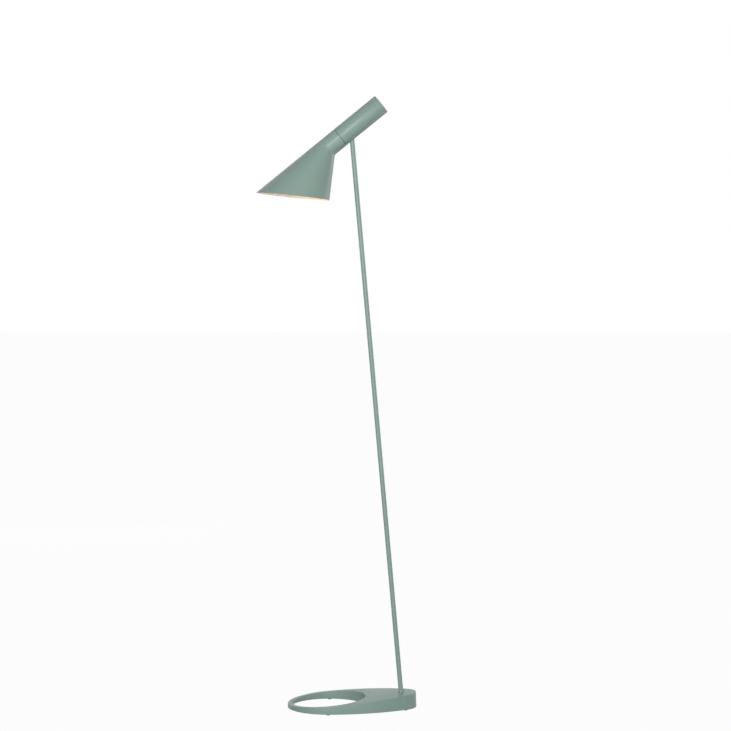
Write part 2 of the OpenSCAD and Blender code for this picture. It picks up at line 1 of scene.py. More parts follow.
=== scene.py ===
# %% [markdown]
# # A floor lamp with a tilting head
#
# The lamp is a cast foot shaped like an egg, with a round hole in its wide end, a thin pole that
# leans, and a short tube that tilts on the pole's top and runs on into a slanted cone shade.
# All the painted pieces have the same grey-green satin powder coat. The inside of the shade is
# white, so that it throws the bulb's warm light down.
#
# The construction model already holds every piece at its real size, with nothing rounded and no
# finish. This lesson adds what it leaves out: rounded edges, a soft crease, threads, screw heads,
# paint, rubber, glass, and light. Sizes are in metres, +Z is up, and the head points towards -X.

import json
import math

import bmesh
import bpy
from mathutils import Matrix, Vector

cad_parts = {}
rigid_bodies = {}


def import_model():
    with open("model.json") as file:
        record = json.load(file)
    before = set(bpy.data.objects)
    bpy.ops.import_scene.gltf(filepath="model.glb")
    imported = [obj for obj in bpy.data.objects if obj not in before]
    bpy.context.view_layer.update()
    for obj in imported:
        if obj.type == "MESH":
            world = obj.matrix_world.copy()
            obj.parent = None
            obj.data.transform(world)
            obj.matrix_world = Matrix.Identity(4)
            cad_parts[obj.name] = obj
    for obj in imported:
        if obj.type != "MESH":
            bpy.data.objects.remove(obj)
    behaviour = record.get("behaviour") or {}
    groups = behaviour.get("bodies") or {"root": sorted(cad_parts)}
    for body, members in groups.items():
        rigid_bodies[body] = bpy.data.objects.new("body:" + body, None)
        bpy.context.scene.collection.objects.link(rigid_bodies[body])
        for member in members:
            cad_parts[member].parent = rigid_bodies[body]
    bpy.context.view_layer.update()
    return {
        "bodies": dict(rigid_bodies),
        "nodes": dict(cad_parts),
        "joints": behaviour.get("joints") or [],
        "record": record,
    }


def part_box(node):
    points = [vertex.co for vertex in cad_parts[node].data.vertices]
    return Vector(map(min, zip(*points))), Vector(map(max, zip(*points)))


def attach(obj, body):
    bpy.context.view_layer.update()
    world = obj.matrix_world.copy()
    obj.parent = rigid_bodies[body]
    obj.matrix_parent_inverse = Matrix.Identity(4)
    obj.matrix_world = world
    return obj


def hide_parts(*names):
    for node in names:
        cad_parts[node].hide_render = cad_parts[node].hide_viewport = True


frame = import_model()
node_body = {name: body for body, names in frame["record"]["behaviour"]["bodies"].items() for name in names}
head_joint = next(j for j in frame["joints"] if j["name"] == "head_tilt")
hinge = Vector(head_joint["pos_m"])
print("loaded", len(frame["nodes"]), "pieces; the hinge is at", [round(c, 4) for c in hinge])

# %% [markdown]
# ## The camera
#
# The lamp is seen square from its side, from far away, so that its long pole isn't distorted.
# A long lens at a little over four metres gives that flat, catalogue-like view. The camera stands
# at about three quarters of the lamp's height and looks down by a few degrees, which shows the
# foot's top face and the hole as thin ellipses.

# %% Camera
camera_data = bpy.data.cameras.new("side_view")
camera_data.sensor_width = 36
camera_data.lens = 102.1
camera = bpy.data.objects.new("side_view", camera_data)
camera.location = (0.0611, -4.394, 0.9168)
camera.rotation_euler = (math.radians(90 - 2.435), 0, 0)
bpy.context.scene.collection.objects.link(camera)
bpy.context.scene.camera = camera
print("camera at", tuple(camera.location))

# %% [markdown]
# ## Arithmetic in a node tree
#
# Materials and Geometry Nodes are both graphs of small nodes. A formula with ten operations would
# be ten nodes to place and link by hand, so this small class does it: a `Number` stands for a value
# that flows through a tree, and ordinary arithmetic on it adds the Math nodes. The formula can
# then be read in the script just as it would be on paper.

# %% Number: a value that flows through a node tree
class Number:
    def __init__(self, tree, socket):
        self.tree, self.socket = tree, socket

    def math(self, operation, *others):
        node = self.tree.nodes.new("ShaderNodeMath")
        node.operation = operation
        for place, value in enumerate((self, *others)):
            if isinstance(value, Number):
                self.tree.links.new(value.socket, node.inputs[place])
            else:
                node.inputs[place].default_value = value
        return Number(self.tree, node.outputs[0])

    def __add__(self, other):
        return self.math("ADD", other)

    def __sub__(self, other):
        return self.math("SUBTRACT", other)

    def __mul__(self, other):
        return self.math("MULTIPLY", other)

    def __truediv__(self, other):
        return self.math("DIVIDE", other)

    def __rsub__(self, other):
        return (self * -1) + other

    __radd__, __rmul__ = __add__, __mul__

    def clamped(self):
        return self.math("MAXIMUM", 0.0).math("MINIMUM", 1.0)


def joined(tree, x, y, z):
    node = tree.nodes.new("ShaderNodeCombineXYZ")
    for place, value in enumerate((x, y, z)):
        if isinstance(value, Number):
            tree.links.new(value.socket, node.inputs[place])
        else:
            node.inputs[place].default_value = value
    return node.outputs[0]


print("formulas can now be written as arithmetic")

# %% [markdown]
# ## The satin paint
#
# Powder coat is melted on in an oven. Close up it isn't a mirror: it has a fine, shallow ripple
# called orange peel, about two millimetres from crest to crest, and its gloss and colour wander by
# a few per cent. Where a hand or a cloth has rubbed an edge it is a touch smoother. Two noise
# textures at different scales give the ripple and the drift. They read Object coordinates, which
# are metres on the real piece, so the grain has the same size on the pole and on the foot.

# %% Helpers for materials
def new_material(name, colour, roughness, metallic=0.0):
    material = bpy.data.materials.new(name)
    material.use_nodes = True
    tree = material.node_tree
    shader = tree.nodes["Principled BSDF"]
    shader.inputs["Base Color"].default_value = (*colour, 1)
    shader.inputs["Roughness"].default_value = roughness
    shader.inputs["Metallic"].default_value = metallic
    return material, tree, shader


def noise(tree, scale, detail=2.0, stretch=(1, 1, 1)):
    place = tree.nodes.new("ShaderNodeTexCoord")
    turn = tree.nodes.new("ShaderNodeMapping")
    turn.inputs["Scale"].default_value = stretch
    texture = tree.nodes.new("ShaderNodeTexNoise")
    texture.inputs["Scale"].default_value = scale
    texture.inputs["Detail"].default_value = detail
    tree.links.new(place.outputs["Object"], turn.inputs["Vector"])
    tree.links.new(turn.outputs["Vector"], texture.inputs["Vector"])
    return Number(tree, texture.outputs["Fac"])


def varied_colour(tree, shader, colour, shade, amount, between):
    mix = tree.nodes.new("ShaderNodeMix")
    mix.data_type = "RGBA"
    mix.inputs["A"].default_value = (*colour, 1)
    mix.inputs["B"].default_value = (*shade, 1)
    tree.links.new((between * amount).clamped().socket, mix.inputs["Factor"])
    tree.links.new(mix.outputs["Result"], shader.inputs["Base Color"])


def rippled(tree, shader, height, distance, strength=1.0):
    bump = tree.nodes.new("ShaderNodeBump")
    bump.inputs["Distance"].default_value = distance
    bump.inputs["Strength"].default_value = strength
    tree.links.new(height.socket, bump.inputs["Height"])
    tree.links.new(bump.outputs["Normal"], shader.inputs["Normal"])


def linear(red, green, blue):
    """A colour as a screen shows it, from 0 to 255, as the light that a shader works in."""
    return tuple(
        (c / 255 / 12.92) if c / 255 <= 0.04045 else ((c / 255 + 0.055) / 1.055) ** 2.4
        for c in (red, green, blue)
    )


def paint_material(name, colour, roughness):
    material, tree, shader = new_material(name, colour, roughness)
    drift = noise(tree, 14.0, 3.0)
    peel = noise(tree, 520.0, 1.0)
    speckle = noise(tree, 2600.0, 2.0)
    darker = tuple(c * 0.90 for c in colour)
    varied_colour(tree, shader, colour, darker, 1.0, (drift - 0.3) * 0.9 + (speckle - 0.5) * 0.35)
    shine = drift * 0.10 + speckle * 0.06 + (roughness - 0.08)
    tree.links.new(shine.socket, shader.inputs["Roughness"])
    rippled(tree, shader, peel + speckle * 0.25, 0.00005, 0.6)
    shader.inputs["Specular IOR Level"].default_value = 0.30
    return material


PAINT = linear(134, 158, 149)
paint = paint_material("satin_paint", PAINT, 0.37)
print("satin paint", [round(c, 3) for c in PAINT])

# %% [markdown]
# ## The white inside, the rubber, the plastics and the metals
#
# The inside of the shade is a matt white that scatters light. Rubber is nearly black and dull with
# a fine grain. Moulded plastic has the slight unevenness of a spark-eroded mould. Zinc-plated
# steel and brass are metals with fine brushed or turned marks, which a noise stretched along one
# direction gives. Every number that is the same all over sits on the shader itself.

# %% Other finishes
def grained(name, colour, roughness, scale, height, metallic=0.0, stretch=(1, 1, 1), drift=0.10):
    material, tree, shader = new_material(name, colour, roughness, metallic)
    grain = noise(tree, scale, 3.0, stretch)
    cloud = noise(tree, 30.0, 2.0)
    varied_colour(tree, shader, colour, tuple(c * (1 - 2 * drift) for c in colour), 1.0, cloud * 0.6 + grain * 0.3)
    tree.links.new((grain * 0.2 + (roughness - 0.1)).socket, shader.inputs["Roughness"])
    rippled(tree, shader, grain, height, 0.5)
    return material


white_inside = grained("matt_white_inside", linear(244, 238, 228), 0.62, 900.0, 0.00004, drift=0.02)
rubber = grained("rubber", linear(38, 38, 39), 0.72, 1400.0, 0.00006)
black_plastic = grained("black_plastic", linear(34, 35, 36), 0.45, 1800.0, 0.00003)
white_plastic = grained("white_plastic", linear(232, 231, 224), 0.42, 1500.0, 0.00003, drift=0.03)
steel = grained("zinc_plated_steel", linear(196, 198, 199), 0.34, 500.0, 0.00003, 1.0, (1, 1, 9))
brass = grained("brass", linear(214, 184, 118), 0.3, 500.0, 0.00003, 1.0, (1, 1, 9))
alloy = grained("die_cast_alloy", linear(190, 192, 194), 0.45, 700.0, 0.00005, 1.0)
print("made", len(bpy.data.materials), "materials so far")

# %% [markdown]
# ## The lit bulb
#
# An opal bulb is a glass globe with a white coating, which glows evenly with a little less light
# towards its edge. A small emission on a white, glossy surface gives the glow, and a lamp just
# below the globe does most of the lighting of the shade.

# %% Opal glass
opal_glass, tree, shader = new_material("opal_glass", linear(255, 246, 232), 0.12)
coating = noise(tree, 160.0, 2.0)
varied_colour(tree, shader, linear(255, 246, 232), linear(250, 236, 214), 1.0, coating)
rippled(tree, shader, noise(tree, 300.0, 1.0), 0.00002, 0.4)
shader.inputs["Coat Weight"].default_value = 0.6
shader.inputs["Coat Roughness"].default_value = 0.05
shader.inputs["Emission Color"].default_value = (*linear(255, 206, 150), 1)
shader.inputs["Emission Strength"].default_value = 1.5
slots = {
    "paint": paint, "steel": steel, "rubber": rubber, "brass": brass, "white_plastic": white_plastic,
    "black_plastic": black_plastic, "alloy": alloy, "opal_glass": opal_glass,
}
slot_of = {part["node"]: part["material_slot"] for part in frame["record"]["subparts"]}
for name, cad in frame["nodes"].items():
    cad.data.materials.clear()
    cad.data.materials.append(slots[slot_of[name]])
print("finishes given to", len(slot_of), "pieces")

# %% [markdown]
# ## Rounded edges
#
# No real edge is a perfect corner. A casting leaves its mould with edges rounded by about a
# millimetre, and a cut tube is deburred by a few tenths. A rounded edge catches a thin line of
# light, and that line is most of what makes a render look real. The construction model's pieces
# are loose triangles, so a copy is merged, its flat faces are joined, and a Bevel modifier rounds
# every edge that is sharper than an angle. The faces then get smooth shading.

# %% A helper that copies a construction piece and rounds its edges
def finished(mesh, name, body, slot, *replaced):
    """Links a mesh as a piece that rides on a body and stands for some construction pieces."""
    piece = bpy.data.objects.new(name, mesh)
    bpy.context.scene.collection.objects.link(piece)
    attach(piece, body)
    if replaced:
        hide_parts(*replaced)
    return piece


def baked(piece):
    """The piece's mesh with its modifiers applied, as a plain mesh."""
    graph = bpy.context.evaluated_depsgraph_get()
    return bpy.data.meshes.new_from_object(piece.evaluated_get(graph))


def shade_smooth(mesh, angle=35):
    mesh.polygons.foreach_set("use_smooth", [True] * len(mesh.polygons))
    mesh.set_sharp_from_angle(angle=math.radians(angle))


def merged_copy(node):
    mesh = frame["nodes"][node].data.copy()
    shape = bmesh.new()
    shape.from_mesh(mesh)
    bmesh.ops.remove_doubles(shape, verts=shape.verts, dist=2e-6)
    shape.to_mesh(mesh)
    shape.free()
    return mesh


def softened(node, width, sharper_than=40, segments=2):
    """A copy of a construction piece with edges rounded to a radius."""
    mesh = merged_copy(node)
    if width:
        shape = bmesh.new()
        shape.from_mesh(mesh)
        bmesh.ops.dissolve_limit(shape, angle_limit=math.radians(0.2), verts=shape.verts,
                                 edges=shape.edges, delimit=set())
        shape.to_mesh(mesh)
        shape.free()
        bare = bpy.data.objects.new(node + "_bare", mesh)
        bpy.context.scene.collection.objects.link(bare)
        bevel = bare.modifiers.new("round", "BEVEL")
        bevel.width = width
        bevel.segments = segments
        bevel.limit_method = "ANGLE"
        bevel.angle_limit = math.radians(sharper_than)
        bevel.use_clamp_overlap = True
        mesh = baked(bare)
        bpy.data.objects.remove(bare)
    shade_smooth(mesh)
    mesh.materials.clear()
    mesh.materials.append(slots[slot_of[node]])
    piece = finished(mesh, node + "_finished", node_body[node], slot_of[node], node)
    print(piece.name, len(mesh.polygons), "faces")
    return piece


# %% [markdown]
# ## The tube, the pole and the small pieces
#
# The head tube has crisp, deburred ends, and the small pieces that show are rounded by a few
# tenths of a millimetre. The pole and the round pieces whose edges hardly show are only shaded
# smooth. The foot is made later, from its own rule, with edges rounded by about a millimetre, as
# on a painted casting.

# %% Rounded pieces
softened("head_tube", 0.0003)
softened("rubber_feet", 0.0005)
softened("cord_inlet_bush", 0.0004)
softened("base_cover_plate", 0.0003)
softened("rear_cap", 0.0003)
softened("switch_button", 0.0005)
for smooth_only in ("pole_tube", "pole_top_knuckle", "bulb_globe", "lampholder_body",
                    "lampholder_shell", "bulb_insulator", "bulb_contact", "switch_nut"):
    softened(smooth_only, 0)

# %% [markdown]
# ## The housing inside
#
# The housing that joins the tube and the shade shows only as a fine dark line, in the seam between
# them, and as a shadow in the slot. Its alloy is given a near-black colour as painted shade, so that
# the seam and the slot read dark.

# %% Housing darkened as painted shade for the seam and the slot
# The near-black colour is painted shade: it darkens the fine seam line and the slot.
painted_seam_shade = grained("dark_alloy_painted_seam_shade", linear(44, 46, 47), 0.6, 700.0, 0.00005, drift=0.08)
housing = softened("joint_housing", 0)
housing.data.materials[0] = painted_seam_shade
print("housing finish:", housing.data.materials[0].name)

# %% [markdown]
# ## The shade
#
# The shade is the lamp's main piece, and its shape follows a rule. It starts as a round collar with
# the tube's radius. From an oblique crease it opens into a cone, and the cone's point is so placed
# that the top line runs dead straight from the tube to the rim. A cone and a cylinder that share
# a line like this meet in a flat ellipse, so for every angle around the tube the profile is two
# straight lines with one soft bend between them.
#
# Geometry Nodes can write that rule down. A flat grid is wrapped: its columns run around the tube,
# and its rows run out along the outside, round the rim and back along the inside. The tree's
# inputs are the real sizes, and each row's place is computed from them.

# %% Sizes of the shade
tube_low, tube_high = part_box("head_tube")
tilt = math.radians(39.1)
TUBE_R = (tube_high.y - tube_low.y) / 2
SHEET = 0.0015
SEAM = 0.0293
COLLAR = 0.0322
CONE_HALF = math.radians(22)
TOP_LINE = 0.2114
RIM_TURN = math.radians(39.1 + 6)
POINT_X = -SEAM - COLLAR + TUBE_R * (1 / math.tan(CONE_HALF) - math.tan(CONE_HALF))
SEAM_GAP = 0.0008
COLUMNS, ROWS = 168, 20
print("tube radius", round(TUBE_R, 5), "cone point at", round(POINT_X, 5), "from the hinge")


# %% The shade's tree
def new_tree(name, sizes):
    """A Geometry Nodes tree with named size inputs, and those inputs as numbers."""
    tree = bpy.data.node_groups.new(name, "GeometryNodeTree")
    tree.interface.new_socket(name="Geometry", in_out="OUTPUT", socket_type="NodeSocketGeometry")
    for size, value in sizes.items():
        socket = tree.interface.new_socket(name=size, in_out="INPUT", socket_type="NodeSocketFloat")
        socket.default_value = value
    inlet = tree.nodes.new("NodeGroupInput")
    return tree, [Number(tree, inlet.outputs[size]) for size in sizes]


def wrapped_grid(tree, columns, rows):
    """A unit grid, and how far along its columns and rows each point is, from 0 to 1."""
    grid = tree.nodes.new("GeometryNodeMeshGrid")
    for place, value in enumerate((1.0, 1.0, columns + 1, rows + 1)):
        grid.inputs[place].default_value = value
    where = tree.nodes.new("GeometryNodeInputPosition")
    split = tree.nodes.new("ShaderNodeSeparateXYZ")
    tree.links.new(where.outputs[0], split.inputs[0])
    return grid.outputs["Mesh"], Number(tree, split.outputs["X"]) + 0.5, Number(tree, split.outputs["Y"]) + 0.5


def painted(tree, mesh, material, where=None):
    node = tree.nodes.new("GeometryNodeSetMaterial")
    node.inputs["Material"].default_value = material
    tree.links.new(mesh, node.inputs["Geometry"])
    if where:
        tree.links.new(where.socket, node.inputs["Selection"])
    return node.outputs["Geometry"]


def moved_to(tree, mesh, x, y, z):
    node = tree.nodes.new("GeometryNodeSetPosition")
    tree.links.new(mesh, node.inputs["Geometry"])
    tree.links.new(joined(tree, x, y, z), node.inputs["Position"])
    return node.outputs["Geometry"]


def closed_tree(tree, mesh, material=None):
    """Ends a tree: real geometry, and its material."""
    real = tree.nodes.new("GeometryNodeRealizeInstances")
    tree.links.new(mesh, real.inputs[0])
    end = tree.nodes.new("NodeGroupOutput")
    last = painted(tree, real.outputs[0], material) if material else real.outputs[0]
    tree.links.new(last, end.inputs[0])


def grown(tree, sizes, place, merge=2e-6):
    """Runs a tree with its sizes and returns the result as a plain, merged mesh, moved to its place."""
    holder = bpy.data.objects.new(tree.name, bpy.data.meshes.new(tree.name))
    bpy.context.scene.collection.objects.link(holder)
    modifier = holder.modifiers.new("grow", "NODES")
    modifier.node_group = tree
    for item in tree.interface.items_tree:
        if item.in_out == "INPUT":
            modifier[item.identifier] = float(sizes[item.name])
    mesh = baked(holder)
    bpy.data.objects.remove(holder)
    mesh.transform(place)
    shape = bmesh.new()
    shape.from_mesh(mesh)
    bmesh.ops.remove_doubles(shape, verts=shape.verts, dist=merge)
    bmesh.ops.recalc_face_normals(shape, faces=shape.faces)
    shape.to_mesh(mesh)
    shape.free()
    return mesh


head_place = Matrix.Translation(hinge) @ Matrix.Rotation(-tilt, 4, "Y")
shade_sizes = {
    "Radius": TUBE_R, "Sheet": SHEET, "Seam": SEAM + SEAM_GAP, "Point": POINT_X, "Half angle": CONE_HALF,
    "Top line": TOP_LINE, "Rim turn": RIM_TURN, "Soft": 0.0035,
}
tree, (radius, sheet, seam, point, half, top_line, rim_turn, soft) = new_tree("cone_shade", shade_sizes)
flat, around, along = wrapped_grid(tree, COLUMNS, 2 * ROWS)
inside = along.math("GREATER_THAN", 0.5)
flat = painted(tree, flat, paint)
flat = painted(tree, flat, white_inside, inside)
row = (1.0 - (along * 2.0 - 1.0).math("ABSOLUTE")) * float(ROWS)
inner_row = along.math("GREATER_THAN", 0.5 + 0.25 / ROWS)
r = radius - sheet * inner_row
angle = around * (2 * math.pi)
y = r * angle.math("SINE")
z = r * angle.math("COSINE")
slope = half.math("TANGENT")
tip = point - (radius - r) / slope
crease = tip - r / slope + (r - z) * slope * 0.5
collar_part = (row / 4.0).clamped()
bend_part = ((row - 4.0) / 8.0).clamped()
cone_part = ((row - 12.0) / float(ROWS - 12)).clamped()
run_x, run_z = crease - tip, z - r
run = (run_x * run_x + y * y + run_z * run_z).math("SQRT")
across = rim_turn.math("SINE")
upright = rim_turn.math("COSINE")
reach = ((0.0 - SEAM - top_line - tip) * across + (radius - r) * upright) / (run_x * across + run_z * upright)


def bent(start, corner, end, part):
    """A soft bend: from start to end, pulled towards the corner."""
    left = 1.0 - part
    return left * left * start + left * part * 2.0 * corner + part * part * end


def along_profile(first, corner, towards, back):
    """One coordinate of the profile: collar, soft bend, cone."""
    before = corner + back * soft
    after = corner + towards / run * soft
    rim = (corner - towards) + towards * reach
    return (first + (before - first) * collar_part + bent(before, corner, after, bend_part) - before
            + (rim - after) * cone_part)


shade_x = along_profile(0.0 - seam, crease, run_x, 1.0)
shade_y = along_profile(y, y, y, 0.0)
shade_z = along_profile(z, z, run_z, 0.0)
closed_tree(tree, moved_to(tree, flat, shade_x, shade_y, shade_z))
mesh = grown(tree, shade_sizes, head_place)
shade_smooth(mesh, 50)
shade = finished(mesh, "cone_shade", "head", "paint", "lamp_shade")
print("the shade has", len(mesh.polygons), "faces and", len(mesh.materials), "finishes")

# %% [markdown]
# ## The foot
#
# Seen from above, the foot is an egg: a large circle, a small one, and a long side curve on each
# side that meets both without a corner. The round hole shares the large circle's centre, so from
# there every direction crosses the wall once. That makes the foot a ring whose section changes
# with the direction: up the leaning outer wall, over a rounded edge, in along the sloping top,
# over another rounded edge, and down the hole. The recess for the pole, the hollow below and
# the sockets are cut out afterwards, as they would be milled.

# %% Where separate solids are
def middles(node):
    """The middle and the lowest point of each separate solid of a construction piece."""
    shape = bmesh.new()
    shape.from_mesh(frame["nodes"][node].data)
    bmesh.ops.remove_doubles(shape, verts=shape.verts, dist=2e-6)
    waiting, found = set(shape.verts), []
    while waiting:
        solid, front = set(), [waiting.pop()]
        while front:
            vert = front.pop()
            solid.add(vert)
            for edge in vert.link_edges:
                other = edge.other_vert(vert)
                if other in waiting:
                    waiting.discard(other)
                    front.append(other)
        low = [min(v.co[axis] for v in solid) for axis in range(3)]
        high = [max(v.co[axis] for v in solid) for axis in range(3)]
        found.append(((low[0] + high[0]) / 2, (low[1] + high[1]) / 2, low[2]))
    shape.free()
    return found


# %% Sizes and outline of the foot
MM = 0.001
foot_low, foot_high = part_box("base_casting")
WIDE_R, NARROW_R, SIDE_R, ENDS_GAP, HOLE_R = 88 * MM, 43 * MM, 300 * MM, 144 * MM, 78 * MM
WIDE_X, DROP, FOOT_H = foot_low.x + 88 * MM, foot_low.z, 31.4 * MM
DRAFT, LEAN = math.tan(math.radians(2.3)), math.tan(math.radians(5.07))
POLE_X = WIDE_X + 154 * MM
side_x = ((SIDE_R - WIDE_R) ** 2 - (SIDE_R - NARROW_R) ** 2 + ENDS_GAP ** 2) / (2 * ENDS_GAP)
side_y = math.sqrt((SIDE_R - WIDE_R) ** 2 - side_x ** 2)


def reach_to_circle(angle, cx, cy, r):
    """How far a ray from the wide end's centre runs before it leaves a circle."""
    along = cx * math.cos(angle) + cy * math.sin(angle)
    return along + math.sqrt(max(r * r - cx * cx - cy * cy + along * along, 0))


wide_ends = math.atan2(side_y, -side_x)
narrow_at = Vector((ENDS_GAP, 0)) + Vector((ENDS_GAP - side_x, side_y)).normalized() * NARROW_R
narrow_ends = math.atan2(narrow_at.y, narrow_at.x)


def egg_reach(angle, inset):
    """Distance from the wide end's centre to the egg's outline, at an angle from the pole's side."""
    turn = abs(math.remainder(angle, 2 * math.pi))
    if turn >= wide_ends:
        return WIDE_R - inset
    if turn <= narrow_ends:
        return reach_to_circle(turn, ENDS_GAP, 0, NARROW_R - inset)
    return reach_to_circle(turn, side_x, -side_y, SIDE_R - inset)


def top_z(x):
    return FOOT_H + (x - POLE_X) * LEAN


print("side curve's centre:", round(side_x, 4), round(-side_y, 4), "from the wide end's centre")

# %% The ring
EDGE, SMALL_EDGE, AROUND, CORNER = 0.0012, 0.0006, 360, 5


def foot_section(angle):
    """The wall's section in one direction, as (distance from the centre, height) points."""
    def outer(z):
        return egg_reach(angle, (z - DROP) * DRAFT)

    def top(r):
        return top_z(WIDE_X + r * math.cos(angle))

    rim = top(outer(FOOT_H))
    points = []
    for step in range(CORNER + 1):
        a = step / CORNER * math.pi / 2
        z = DROP + SMALL_EDGE * (1 - math.sin(a))
        points.append((outer(z) - SMALL_EDGE * (1 - math.cos(a)), z))
    points.reverse()
    for step in range(CORNER + 1):
        a = step / CORNER * math.pi / 2
        r = outer(rim) - EDGE * (1 - math.cos(a))
        points.append((r, top(r) - EDGE * (1 - math.sin(a))))
    for step in range(CORNER + 1):
        a = step / CORNER * math.pi / 2
        r = HOLE_R + EDGE * (1 - math.sin(a))
        points.append((r, top(r) - EDGE * (1 - math.cos(a))))
    for step in range(CORNER + 1):
        a = step / CORNER * math.pi / 2
        points.append((HOLE_R + SMALL_EDGE * (1 - math.cos(a)), DROP + SMALL_EDGE * (1 - math.sin(a))))
    return points


shape = bmesh.new()
rings = []
for step in range(AROUND):
    angle = 2 * math.pi * step / AROUND
    rings.append([shape.verts.new((WIDE_X + r * math.cos(angle), r * math.sin(angle), z))
                  for r, z in foot_section(angle)])
for step in range(AROUND):
    here, following = rings[step], rings[(step + 1) % AROUND]
    for k in range(len(here)):
        n = (k + 1) % len(here)
        shape.faces.new((here[k], following[k], following[n], here[n]))
bmesh.ops.recalc_face_normals(shape, faces=shape.faces)
foot_mesh = bpy.data.meshes.new("foot")
shape.to_mesh(foot_mesh)
shape.free()
print("the ring has", len(foot_mesh.polygons), "faces")


# %% Cuts in the foot
def prism(name, outline, low, high):
    """A closed block from an outline in the plane; low and high give its heights at a point."""
    shape = bmesh.new()
    bottom = [shape.verts.new((x, y, low(x))) for x, y in outline]
    top = [shape.verts.new((x, y, high(x))) for x, y in outline]
    shape.faces.new(bottom)
    shape.faces.new(list(reversed(top)))
    for k in range(len(outline)):
        n = (k + 1) % len(outline)
        shape.faces.new((bottom[k], bottom[n], top[n], top[k]))
    bmesh.ops.recalc_face_normals(shape, faces=shape.faces)
    mesh = bpy.data.meshes.new(name)
    shape.to_mesh(mesh)
    shape.free()
    cutter = bpy.data.objects.new(name, mesh)
    bpy.context.scene.collection.objects.link(cutter)
    return cutter


def ring_of(x, y, r, count=40):
    return [(x + r * math.cos(2 * math.pi * k / count), y + r * math.sin(2 * math.pi * k / count))
            for k in range(count)]


def hollow_outline(inset, from_x):
    """The egg's outline, pulled in, on the pole's side of a straight line."""
    limit, beyond = 0.0, math.pi / 2
    while beyond - limit > 1e-7:
        middle = (limit + beyond) / 2
        if egg_reach(middle, inset) * math.cos(middle) > from_x:
            limit = middle
        else:
            beyond = middle
    angles = [limit * (1 - 2 * k / 80) for k in range(81)]
    return [(WIDE_X + egg_reach(a, inset) * math.cos(a), egg_reach(a, inset) * math.sin(a)) for a in angles]


def cylinder_cut(name, r, depth, above, place):
    """A round cutter along the pole."""
    cutter = prism(name, ring_of(0, 0, r), lambda x: -depth, lambda x: above)
    cutter.data.transform(place)
    return cutter


on_pole = Matrix.Translation((POLE_X, 0, FOOT_H)) @ Matrix.Rotation(-math.radians(5.07), 4, "Y")
pads = middles("rubber_feet")
cutters = [
    prism("hollow", hollow_outline(12 * MM, HOLE_R + 14 * MM), lambda x: DROP - 1 * MM,
          lambda x: top_z(x) - 10 * MM / math.cos(math.radians(5.07))),
    prism("rebate", hollow_outline(9.5 * MM, HOLE_R + 11.5 * MM), lambda x: DROP - 1 * MM, lambda x: DROP + 2 * MM),
    cylinder_cut("recess", 6.5 * MM, 5 * MM, 3 * MM, on_pole),
    cylinder_cut("stud_hole", 4.25 * MM, 14 * MM, -3 * MM, on_pole),
]
for k, (x, y, z) in enumerate(pads):
    cutters.append(prism(f"socket_{k}", ring_of(x, y, 4.05 * MM), lambda x: -1 * MM, lambda x: 3 * MM))
inlet_low, inlet_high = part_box("cord_inlet_bush")
INLET_TURN = math.radians(64.3)
inlet_place = (Matrix.Translation((WIDE_X + side_x, -side_y, DROP)) @ Matrix.Rotation(INLET_TURN, 4, "Z")
               @ Matrix.Translation((SIDE_R, 0, 0)))
notch = prism("notch", [(-17 * MM, -5.5 * MM), (5 * MM, -5.5 * MM), (5 * MM, 5.5 * MM), (-17 * MM, 5.5 * MM)],
              lambda x: -1 * MM, lambda x: 12 * MM)
notch.data.transform(inlet_place)
cutters.append(notch)
bare = bpy.data.objects.new("foot_bare", foot_mesh)
bpy.context.scene.collection.objects.link(bare)
for cutter in cutters:
    cut = bare.modifiers.new(cutter.name, "BOOLEAN")
    cut.operation = "DIFFERENCE"
    cut.solver = "EXACT"
    cut.object = cutter
mesh = baked(bare)
for spare in (bare, *cutters):
    bpy.data.objects.remove(spare)
mesh.materials.clear()
mesh.materials.append(paint)
shade_smooth(mesh, 32)
finished(mesh, "foot", "stand", "paint", "base_casting")
print("the foot has", len(mesh.polygons), "faces")

# %% [markdown]
# ## Screw heads
#
# Four screws hold the plate under the foot, and one passes through the tube as the hinge. Each has
# a low round head with a slightly domed face and a hexagonal socket. A head is a solid of rotation
# with a socket cut out of it. The four plate screws are the same, so one tree makes one screw and
# puts a copy on each of them. Realize Instances then turns the copies into real faces.

# %% Where the screws are
screw_places = middles("cover_screws")
print("cover screws at", [tuple(round(c, 4) for c in place) for place in screw_places])


# %% The screw's tree
def threaded_screw(name, sizes):
    """A screw with its head down: a wrapped grid gives the head, the neck and a helical thread."""
    tree, (head_r, head_h, shank_r, length, pitch, depth) = new_tree(name, sizes)
    flat, around, along = wrapped_grid(tree, 36, SCREW_ROWS)
    row = along * float(SCREW_ROWS)
    turn = around * (2 * math.pi)
    on_shank = row.math("GREATER_THAN", 6.5)
    rise = ((row - 7.0) / float(SCREW_ROWS - 8)).clamped() * (length - head_h) + head_h * on_shank
    wave = (rise / pitch - around).math("FRACT")
    ridge = 1.0 - (wave * 2.0 - 1.0).math("ABSOLUTE")
    shank = shank_r - depth * (1.0 - ridge) * on_shank
    socket_r = head_r * 0.45
    facet = (turn * (3 / math.pi)).math("FRACT") - 0.5
    socket_r = socket_r * 0.92 / (facet * (math.pi / 3)).math("COSINE")
    deep = row.math("LESS_THAN", 1.5)
    in_socket = row.math("LESS_THAN", 2.5)
    centre = row.math("GREATER_THAN", 0.5)
    edge = row.math("GREATER_THAN", 3.5)
    back = row.math("GREATER_THAN", 5.5)
    head_wide = (head_r * 0.9) + head_r * 0.1 * edge
    r = (in_socket * socket_r + (1.0 - in_socket) * head_wide) * centre
    r = r * (1.0 - back) + shank * back * (1.0 - row.math("GREATER_THAN", SCREW_ROWS - 0.5))
    height = deep * head_h * 0.6 + edge * head_h * 0.2 + row.math("GREATER_THAN", 4.5) * head_h * 0.8
    height = height * (1.0 - on_shank) + rise
    one = moved_to(tree, flat, r * turn.math("COSINE"), r * turn.math("SINE"), height)
    return tree, one


